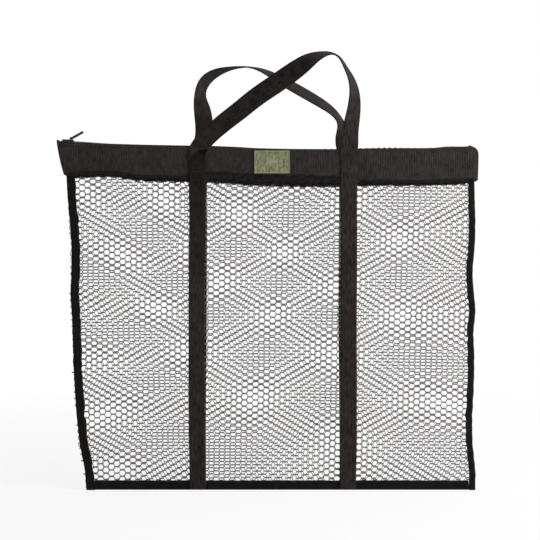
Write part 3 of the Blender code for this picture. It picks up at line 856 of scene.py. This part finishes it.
for word, edge, inward in (("Left", leftEdge, 1), ("Right", rightEdge, -1)):
    piece = sideBinding(edge, inward, binding[word.lower()])
    finishPiece(piece, "binding" + word, "bag", "binding_tape", cloths["bindingTape"],
                "side_binding_" + word.lower())
finishPiece(hemBinding(), "bindingHem", "bag", "binding_tape", cloths["bindingTape"], "hem_binding")
for word, edge, inward in (("Left", bandLeft, 1), ("Right", bandRight, -1)):
    piece = endTab(edge, inward)
    finishPiece(piece, "endTab" + word, "bag", "binding_tape", cloths["bindingTape"],
                "zip_end_tab_" + word.lower())
print("bindings made")

# the zip: two tapes folded flat over the mouth, a nylon coil on each, stops, slider and pull tab
zipper = {"left": -0.30992, "right": 0.2878, "coilLeft": -0.30802, "coilRight": 0.2859, "slot": 0.0007,
          "tape": 0.0007, "tapeDepth": 0.012, "tapeGap": 0.0003, "wallPart": 0.0090, "turnPart": 0.0016,
          "flatPart": 0.0064, "turnRadius": 0.0010, "pitch": 0.0017, "coilWide": 0.0030, "coilTall": 0.0024,
          "coilLean": 0.35, "sliderX": -0.29972, "pivot": 0.0062, "pivotX": 0.0045, "pullAngle": 30}


def zipTape(side):
    # up the band's inner face, over a small turn, and level to the slot
    wallPart, turnPart, radius = zipper["wallPart"], zipper["turnPart"], zipper["turnRadius"]

    def place(across, down):
        x = mix(zipper["left"], zipper["right"], down)
        wall = bandInner(x, zipper["tapeDepth"] / 2) - zipper["tapeGap"] - zipper["tape"] / 2
        walk = across * (wallPart + turnPart + zipper["flatPart"])
        level = zipLine(x) - bag["tapeDrop"] - zipper["tape"] / 2
        if walk < wallPart:
            y, z = wall, level - (wallPart + radius - walk)
        elif walk < wallPart + turnPart:
            turn = (walk - wallPart) / turnPart * math.pi / 2
            y, z = wall - radius * (1 - math.cos(turn)), level - radius * (1 - math.sin(turn))
        else:
            share = (walk - wallPart - turnPart) / zipper["flatPart"]
            y, z = mix(wall - radius, zipper["slot"], share), level
        return x, side * y, z

    return clothGrid(20, 150, place, (0.017, 0.598), zipper["tape"], edge=0)


def zipCoil(side):
    # one flattened turn of nylon, copied along the zip
    clearSelection()
    major, minor = 0.5, 0.19
    bpy.ops.mesh.primitive_torus_add(major_segments=10, minor_segments=5,
                                     major_radius=major, minor_radius=minor)
    piece = bpy.context.object
    pitch, wide, tall, full = zipper["pitch"], zipper["coilWide"], zipper["coilTall"], 2 * (major + minor)
    openMesh()
    bpy.ops.transform.resize(value=(wide / full, tall / full, pitch * 1.1))
    closeMesh()
    for vertex in piece.data.vertices:  # the turn stands across the track and leans on to the next one
        y, z, x = vertex.co
        vertex.co = (x + pitch * zipper["coilLean"] * (y / wide) + pitch / 2, y, z)
    repeatAlong(piece, int((zipper["coilRight"] - zipper["coilLeft"]) / pitch), (pitch, 0, 0))
    rise = 0.0002 + tall / 2 - bag["tapeDrop"]
    line = lineBetween(zipper["coilLeft"], zipper["coilRight"], 300,
                       lambda x: (x, side * (zipper["slot"] + wide / 2), zipLine(x) + rise))
    layAlong(piece, evenTrack(line, (0, side, 0), (0, 0, 1)))
    tidyMesh(piece, angle=60)
    return piece


for word, side in faces:
    finishPiece(zipTape(side), "zipTape" + word, "bag", "zip_tape", cloths["zipTape"],
                "zip_tape_" + word.lower())
    finishPiece(zipCoil(side), "zipCoil" + word, "bag", "zip_coil", cloths["coilNylon"],
                "zip_coil_" + word.lower())


def softBlock(low, high, bevel, segments=2):
    # a block between two corners with its edges rounded
    clearSelection()
    centre = [(a + b) / 2 for a, b in zip(low, high)]
    bpy.ops.mesh.primitive_cube_add(size=1, location=centre, scale=[b - a for a, b in zip(low, high)])
    block = bpy.context.object
    bpy.ops.object.transform_apply(location=True, rotation=True, scale=True)
    openMesh()
    bpy.ops.mesh.bevel(offset=bevel, segments=segments, affect="EDGES")
    closeMesh()
    return block


def joinPieces(parts):
    clearSelection()
    for part in parts:
        part.select_set(True)
    bpy.context.view_layer.objects.active = parts[0]
    bpy.ops.object.join()
    return parts[0]


# the zip's own frame: X along it from the bag's middle, Z up from its tapes
zipFrame = Matrix.Translation((0, 0, bag["bandTop"] - bag["tapeDrop"])) @ Matrix.Rotation(bag["tilt"], 4, "Y")


stop = {"long": 0.0016, "low": 0.0001, "top": 0.0027, "round": 0.0004, "near": 0.0007, "far": 0.0037,
        "bottomX": 0.2862}


def stopClamp(name, x, inner, outer, node):
    # a bent metal clamp over the coil's end
    clamp = softBlock((x, inner, stop["low"]), (x + stop["long"], outer, stop["top"]), stop["round"], 3)
    for vertex in clamp.data.vertices:
        vertex.co.z -= 0.0004 * abs((vertex.co.x - x) / stop["long"] - 0.5)
        vertex.co = zipFrame @ vertex.co
    tidyMesh(clamp)
    return finishPiece(clamp, name, "bag", "enamel", enamel, node)


stopClamp("topStopFront", zipper["left"], -stop["far"], -stop["near"], "zip_top_stop_front")
stopClamp("topStopBack", zipper["left"], stop["near"], stop["far"], "zip_top_stop_back")
stopClamp("bottomStop", stop["bottomX"], -stop["far"], stop["far"], "zip_bottom_stop")

slider = {"reach": 0.008, "half": 0.0054, "round": 0.0005,
          "upper": (0.0029, 0.0043), "lower": (-0.0024, -0.0010),
          "rimReach": 0.0076, "rimHalf": 0.0007, "rim": (0.0003, 0.0035),
          "neckHalf": 0.0004, "neckTo": -0.0045, "neck": (-0.0020, 0.0036),
          "bail": 0.0019, "bailWire": 0.0006, "bailWiden": 1.9, "taper": 0.06}


def sliderPiece():
    # two plates on a neck, with rims that hold the coil and a bail for the pull tab
    reach, half = slider["reach"], slider["half"]
    upper, lower = (softBlock((-reach, -half, low), (reach, half, high), slider["round"], 3)
                    for low, high in (slider["upper"], slider["lower"]))
    rims, rimReach, rimHalf = [], slider["rimReach"], slider["rimHalf"]
    low, high = slider["rim"]
    for middle in (rimHalf - half, half - rimHalf):
        rims.append(softBlock((-rimReach, middle - rimHalf, low), (rimReach, middle + rimHalf, high), 0.0004))
    low, high = slider["neck"]
    neck = softBlock((-reach, -slider["neckHalf"], low), (slider["neckTo"], slider["neckHalf"], high), 0.0002)
    clearSelection()
    bpy.ops.mesh.primitive_torus_add(location=(zipper["pivotX"], 0, zipper["pivot"]),
                                     rotation=(math.radians(90), 0, 0), major_segments=24, minor_segments=10,
                                     major_radius=slider["bail"], minor_radius=slider["bailWire"])
    bail = bpy.context.object
    bpy.ops.object.transform_apply(location=True, rotation=True)
    for vertex in bail.data.vertices:
        vertex.co.y *= slider["bailWiden"]
    piece = joinPieces([upper, lower, neck, bail] + rims)
    for vertex in piece.data.vertices:
        if vertex.co.z < slider["upper"][1] + 0.0003:  # narrower where the closed chain leaves it
            vertex.co.y *= 1 - slider["taper"] * smooth((vertex.co.x - 0.001) / 0.007)
        vertex.co = zipFrame @ (vertex.co + Vector((zipper["sliderX"], 0, 0)))
    tidyMesh(piece)
    return piece


pull = {"from": 0.0029, "to": 0.0202, "half": 0.0035, "thick": 0.0013, "round": 0.0007, "waist": 0.86,
        "tipFrom": 0.86, "tip": 0.30, "frame": 0.0010, "sunk": 0.0003, "armFrom": -0.0009, "armTo": 0.0037,
        "armAt": 0.00225, "armHalf": 0.00065, "armThick": 0.0008, "bar": 0.0009, "barLong": 0.0042}


def pullPiece():
    # a flat tab with a sunk panel, and two arms that hold its bar in the bail
    plate = softBlock((pull["from"], -pull["half"], -pull["thick"]),
                      (pull["to"], pull["half"], pull["thick"]), pull["round"], 3)
    for vertex in plate.data.vertices:  # rounded at its tip and waisted below the arms
        along = (vertex.co.x - pull["from"]) / (pull["to"] - pull["from"])
        broad = pull["waist"] + (1 - pull["waist"]) * smooth((along - 0.1) / 0.5)
        vertex.co.y *= broad - pull["tip"] * max(along - pull["tipFrom"], 0) / (1 - pull["tipFrom"])
    openMesh("DESELECT")
    bpy.ops.mesh.select_mode(type="FACE")
    closeMesh()
    for face in plate.data.polygons:
        face.select = face.area > 0.00006 and abs(face.normal.z) > 0.9
    bpy.ops.object.mode_set(mode="EDIT")
    bpy.ops.mesh.inset(thickness=pull["frame"])
    bpy.ops.mesh.inset(thickness=0.0002, depth=-pull["sunk"])
    closeMesh()
    arms = []
    for middle in (-pull["armAt"], pull["armAt"]):
        low = (pull["armFrom"], middle - pull["armHalf"], -pull["armThick"])
        high = (pull["armTo"], middle + pull["armHalf"], pull["armThick"])
        arms.append(softBlock(low, high, 0.0003))
    clearSelection()
    bpy.ops.mesh.primitive_cylinder_add(vertices=16, radius=pull["bar"], depth=pull["barLong"],
                                        rotation=(math.radians(90), 0, 0))
    bar = bpy.context.object
    bpy.ops.object.transform_apply(rotation=True)
    openMesh()
    bpy.ops.mesh.bevel(offset=0.0001, segments=1, affect="EDGES")
    closeMesh()
    piece = joinPieces([plate, bar] + arms)
    pivot = Matrix.Translation((zipper["sliderX"] + zipper["pivotX"], 0, zipper["pivot"]))
    piece.data.transform(zipFrame @ pivot @ Matrix.Rotation(math.radians(-zipper["pullAngle"]), 4, "Y"))
    tidyMesh(piece)
    return piece


finishPiece(sliderPiece(), "zipSlider", "slider", "enamel", enamel, "zip_slider")
finishPiece(pullPiece(), "pullTab", "pull_tab", "enamel", enamel, "zip_pull")
print("zip made")

# the sewn patch: a woven field inside a raised border
patch = {"width": 0.054, "height": 0.036, "top": -0.0685, "edge": 0.0015, "line": 0.0017, "thick": 0.0010,
         "over": 0.0013, "uneven": 0.0004, "rim": 0.0003, "rimAt": 0.0016, "rimWide": 0.0018}


def fromPatchEdge(spot):
    # how far a point of the patch lies in from its nearest edge
    under = patch["top"] - spot.z
    return min(patch["width"] / 2 - abs(spot.x), under, patch["height"] - under)


def patchPiece():
    def place(across, down):
        x = (across - 0.5) * patch["width"]
        z = patch["top"] - patch["height"] * down
        lift = patch["over"] + patch["uneven"] * ripple(x, z, 0.02, 3)
        return x, -(bandInner(x, bandTop(x) - z) + bag["bandThick"] + lift), z

    piece = clothGrid(72, 48, place, (patch["width"], patch["height"]), patch["thick"], edge=0.0003)
    for name in ("patchField", "patchLine", "patchEdge"):
        piece.data.materials.append(cloths[name])
    for face in piece.data.polygons:
        inside = fromPatchEdge(face.center)
        if inside < patch["edge"] + patch["line"]:
            face.material_index = 2 if inside < patch["edge"] else 1
    for vertex in piece.data.vertices:
        inside = fromPatchEdge(vertex.co)
        vertex.co.y -= patch["rim"] * smooth(1 - abs(inside - patch["rimAt"]) / patch["rimWide"])
    return piece


finishPiece(patchPiece(), "patch", "bag", "patch", None, "label_patch")
print("patch made")

# rows of stitches: one stitch modelled, copied along each seam
stitch = {"length": 0.0023, "pitch": 0.0031, "tackPitch": 0.0024, "width": 0.00055, "height": 0.00040,
          "bandDepths": (0.0030, 0.0440, 0.0470), "bandFrom": 0.004, "bandTo": 0.005, "overBand": 0.0012,
          "strapOffset": 0.0095, "strapHigh": -0.0975, "strapLow": -0.562, "overStrap": 0.0001,
          "tacks": (-0.0955, -0.1000, -0.1130)}


def stitchRow(points, side, normal, pitch=stitch["pitch"]):
    clearSelection()
    bpy.ops.mesh.primitive_uv_sphere_add(segments=6, ring_count=4, radius=0.5, location=(pitch / 2, 0, 0),
                                         rotation=(0, math.radians(90), 0),
                                         scale=(stitch["height"], stitch["width"], stitch["length"]))
    piece = bpy.context.object
    bpy.ops.object.transform_apply(location=True, rotation=True, scale=True)
    track = evenTrack(points, side, normal)
    repeatAlong(piece, max(int((len(track) - 1) * trackStep / pitch), 1), (pitch, 0, 0))
    layAlong(piece, track)
    tidyMesh(piece, angle=80)
    return piece


def bandRow(depth, side):
    def place(x):
        lift = bandInner(x, depth) + bag["bandThick"] + stitch["overBand"]
        return x, side * lift, bandTop(x) - depth

    left, right = bandLeft(depth) + stitch["bandFrom"], bandRight(depth) - stitch["bandTo"]
    return stitchRow(lineBetween(left, right, 160, place), (0, 0, 1), (0, side, 0))


def strapRow(centre, offset, side):
    def place(z):
        x = strapCentre(centre, z) + offset
        return x, side * (strapFace(x, z) + strap["thick"] + stitch["overStrap"]), z

    points = lineBetween(stitch["strapHigh"], stitch["strapLow"], 120, place)
    return stitchRow(points, (1, 0, 0), (0, side, 0))


def barTack(centre, z, side):
    y = side * (strapFace(centre, z) + strap["thick"] + stitch["overStrap"])
    points = [Vector((centre + dx, y, z)) for dx in (-stitch["strapOffset"], 0.0, stitch["strapOffset"])]
    return stitchRow(points, (0, 0, 1), (0, side, 0), stitch["tackPitch"])


for word, side in faces:
    rows = joinPieces([bandRow(depth, side) for depth in stitch["bandDepths"]])
    finishPiece(rows, "bandStitches" + word, "bag", "band_webbing", cloths["thread"])
    rows = []
    for centre in (bag["strapLeft"], bag["strapRight"]):
        rows += [strapRow(centre, offset, side) for offset in (-stitch["strapOffset"], stitch["strapOffset"])]
        rows += [barTack(centre, z, side) for z in stitch["tacks"]]
    finishPiece(joinPieces(rows), "strapStitches" + word, "bag", "webbing", cloths["thread"])
print("stitches made")

# the ragged edge where the net is sewn up into the band: loops of thread and net ends
seam = {"left": -0.3005, "right": 0.2965, "span": 0.594, "pitch": 0.0034, "drop": 0.0034, "deep": 0.0024,
        "thick": 0.0007, "overBand": 0.0001, "tuck": 0.0014, "swell": 0.0008, "bunch": 0.0006,
        # how far it covers the band along its length: (x, height)
        "rise": [(-0.31, 0.0036), (-0.20, 0.0040), (-0.12, 0.0052), (-0.088, 0.0105), (0.0, 0.0115),
                 (0.09, 0.0105), (0.125, 0.0046), (0.31, 0.0036)]}


def seamEdge(side):
    # a row of loops that hang under the band
    clearSelection()
    bpy.ops.mesh.primitive_torus_add(major_segments=9, minor_segments=4, major_radius=0.5, minor_radius=0.24)
    piece = bpy.context.object
    pitch = seam["pitch"]
    for vertex in piece.data.vertices:
        x, z, y = vertex.co
        vertex.co = (x * pitch * 0.95 + pitch / 2, y * seam["deep"], z * seam["drop"] * 1.5)
    repeatAlong(piece, int(seam["span"] / pitch), (pitch, 0, 0))
    for vertex in piece.data.vertices:
        if vertex.co.z < 0:
            vertex.co.z *= 1 + 0.7 * ripple(vertex.co.x, 0, 0.008, 21 + side)
        vertex.co.x += 0.0008 * ripple(vertex.co.x, vertex.co.z, 0.007, 23 + side)

    def place(x):
        return x, side * (bandInner(x, bag["bandHeight"]) + 0.0004), bandBottom(x) - 0.0006

    points = lineBetween(seam["left"], seam["right"], 200, place)
    layAlong(piece, evenTrack(points, (0, -side, 0), (0, 0, 1)))
    tidyMesh(piece, angle=70)
    return piece


def seamRoll(side):
    # the net's gathered edge, sewn flat over the band's lower edge
    def place(across, down):
        x = mix(seam["left"], seam["right"], across)
        ragged = 1 + 0.5 * ripple(x, down, 0.010, 31 + side)
        z = bandBottom(x) + mix(through(seam["rise"], x) * ragged, -seam["tuck"] * ragged, down)
        bunch = ripple(x, z, 0.0045, 33 + side) + 0.6 * ripple(x, z, 0.0022, 35 + side)
        swell = math.sin(math.pi * clamped(down)) ** 0.5 * (seam["swell"] + seam["bunch"] * bunch)
        face = bandInner(x, min(bag["bandHeight"], bandTop(x) - z)) + bag["bandThick"]
        return x, side * (face + seam["overBand"] + swell), z

    return clothGrid(300, 8, place, (0.597, 0.010), seam["thick"], edge=0, even=False)


for word, side in faces:
    finishPiece(seamEdge(side), "seamEdge" + word, "bag", "net", cloths["seamNet"])
    finishPiece(seamRoll(side), "seamRoll" + word, "bag", "net", cloths["seamNet"])
print("seam edges made")

# floor, background and lights
studio = {"roomLight": 0.20, "whiteness": 0.82, "fade": (0.30, 1.3), "floorSize": 14, "aim": (0, 0, -0.25),
          "paper": ((0.84, 0.84, 0.84), (0.88, 0.88, 0.88)),
          "lamps": [("key", (2.0, -0.80, 0.5), 62, 1.2), ("fill", (-1.6, -1.5, 0.4), 3, 1.6),
                    ("top", (0.2, 0.3, 2.2), 30, 2.6)]}


def seenRays(tree):
    # 1 for what the camera sees, straight, mirrored or through glass, and 0 for the light's own rays
    rays = addNode(tree, "ShaderNodeLightPath")
    bent = compute(tree, "MAXIMUM", rays.outputs["Is Glossy Ray"], rays.outputs["Is Transmission Ray"])
    return compute(tree, "MAXIMUM", rays.outputs["Is Camera Ray"], bent)


def mixShaders(tree, share, a, b, output):
    mixer = addNode(tree, "ShaderNodeMixShader")
    for value, socket in zip((share, a.outputs[0], b.outputs[0]), mixer.inputs):
        feed(tree, value, socket)
    feed(tree, mixer.outputs[0], tree.nodes[output].inputs["Surface"])


def paperMaterial():
    # pale paper that the camera sees as nearly white, with the bag's shadow kept
    material, tree, shader = newMaterial("paper")
    grain = placeGroup(tree, toneGroup, Patch_Size=0.8, Fuzz_Size=0.002)
    feed(tree, blendColours(tree, grain.outputs["Tone"], *studio["paper"]), shader.inputs["Base Color"])
    shader.inputs["Roughness"].default_value = 0.9
    glow = addNode(tree, "ShaderNodeEmission")
    glow.inputs["Strength"].default_value = 1.0
    where = addNode(tree, "ShaderNodeTexCoord")
    far = addNode(tree, "ShaderNodeVectorMath", operation="LENGTH")
    feed(tree, where.outputs["Object"], far.inputs[0])
    fade = addNode(tree, "ShaderNodeMapRange", interpolation_type="SMOOTHSTEP")
    feed(tree, far.outputs["Value"], fade.inputs["Value"])
    limits = studio["fade"] + (studio["whiteness"], 1.0)
    for socket, value in zip(("From Min", "From Max", "To Min", "To Max"), limits):
        fade.inputs[socket].default_value = value
    share = compute(tree, "MULTIPLY", seenRays(tree), fade.outputs["Result"])
    mixShaders(tree, share, shader, glow, "Material Output")
    return material


clearSelection()
bpy.ops.mesh.primitive_plane_add(size=1, location=(0, 0, view["floor"]))
floor = bpy.context.object
floor.name = "floor"
floor.scale = (studio["floorSize"], studio["floorSize"], 1)
bpy.ops.object.transform_apply(location=False, rotation=False, scale=True)
floor.data.materials.append(paperMaterial())

world = bpy.data.worlds.new("studio")
bpy.context.scene.world = world
world.use_nodes = True
tree = world.node_tree
room, white = tree.nodes["Background"], addNode(tree, "ShaderNodeBackground")
for background, strength in ((room, studio["roomLight"]), (white, 1.0)):
    background.inputs["Color"].default_value = (1, 1, 1, 1)
    background.inputs["Strength"].default_value = strength
mixShaders(tree, seenRays(tree), room, white, "World Output")

for name, place, power, size in studio["lamps"]:
    aim = Vector(studio["aim"]) - Vector(place)
    bpy.ops.object.light_add(type="AREA", location=place, rotation=aim.to_track_quat("-Z", "Y").to_euler())
    lamp = bpy.context.object
    lamp.name = name
    lamp.data.energy = power
    lamp.data.size = size
bpy.context.scene.view_settings.view_transform = "Standard"
print("studio made")
